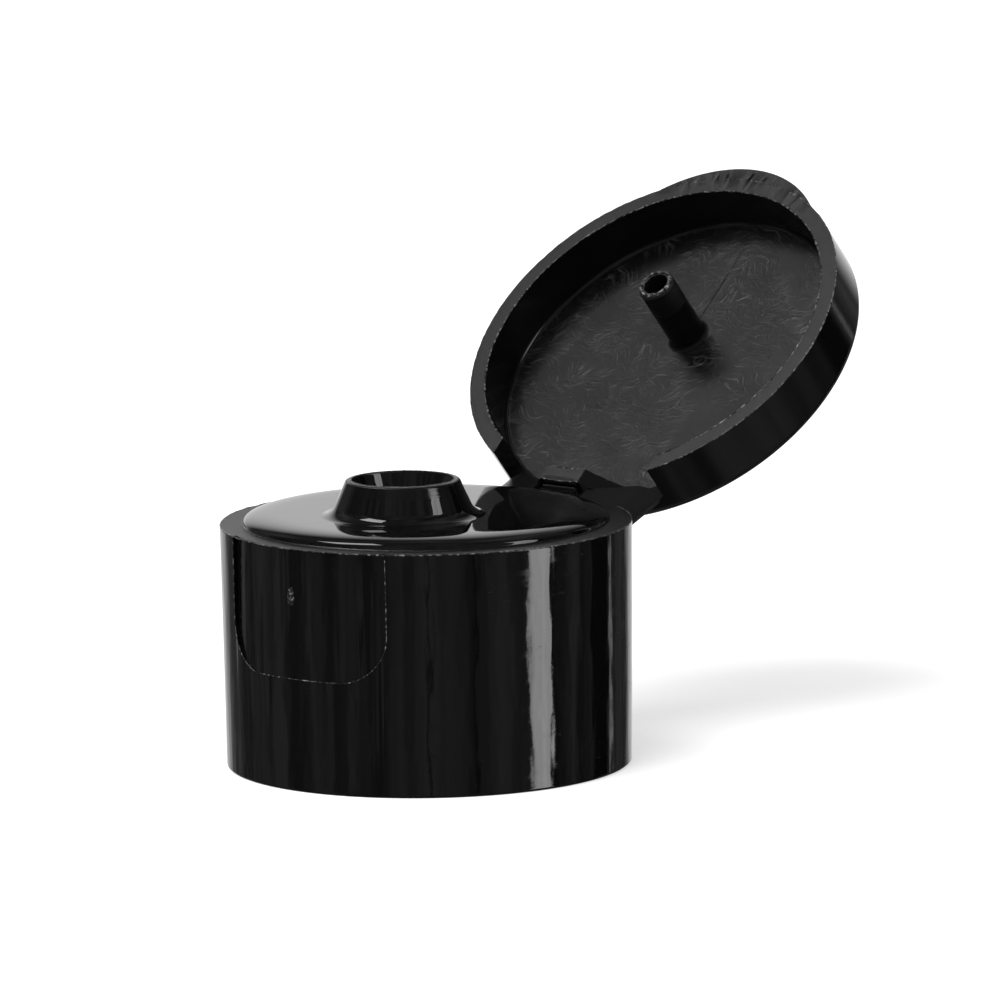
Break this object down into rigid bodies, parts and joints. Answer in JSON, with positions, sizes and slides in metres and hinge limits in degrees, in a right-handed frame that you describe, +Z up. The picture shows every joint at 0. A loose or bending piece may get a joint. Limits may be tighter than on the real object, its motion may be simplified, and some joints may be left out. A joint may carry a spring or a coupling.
{
  "type": "flip top cap",
  "caption": "One-piece screw-on dispensing closure with a smooth round skirt, a raised spout and a hinged lid whose hollow pin seals the orifice.",
  "frame": {"origin": "centre of the skirt's open end, on the axis of the neck bore", "axes": "+Z up along the neck bore's axis, away from the bottle; -Y towards the thumb recess, +Y towards the hinge"},
  "size_m": [0.0284, 0.0525, 0.0371],
  "materials": {
    "polypropylene": "gloss on the outside, satin inside the lid"
  },
  "bodies": {
    "base": {"base": "polypropylene"},
    "lid": {"lid": "polypropylene"},
    "hinge_plate_right": {"hinge_plate_right": "polypropylene"},
    "hinge_plate_left": {"hinge_plate_left": "polypropylene"}
  },
  "joints": [
    {"name": "lid_hinge", "type": "hinge", "parent": "base", "child": "lid", "pos_m": [0, 0.01445, 0.01725], "axis": [-1, 0, 0], "range_deg": [-138.7, 0]},
    {"name": "plate_right_film", "type": "hinge", "parent": "base", "child": "hinge_plate_right", "pos_m": [0.0018, 0.01397, 0.01593], "axis": [-0.9217, 0.22, 0.3195], "range_deg": [-73.41, 0]},
    {"name": "plate_left_film", "type": "hinge", "parent": "base", "child": "hinge_plate_left", "pos_m": [-0.0018, 0.01397, 0.01593], "axis": [-0.9217, -0.22, -0.3195], "range_deg": [-73.41, 0]}
  ],
  "couplings": [
    {"joint": "plate_right_film", "follows": "lid_hinge", "ratio": 0.5292},
    {"joint": "plate_left_film", "follows": "lid_hinge", "ratio": 0.5292}
  ]
}
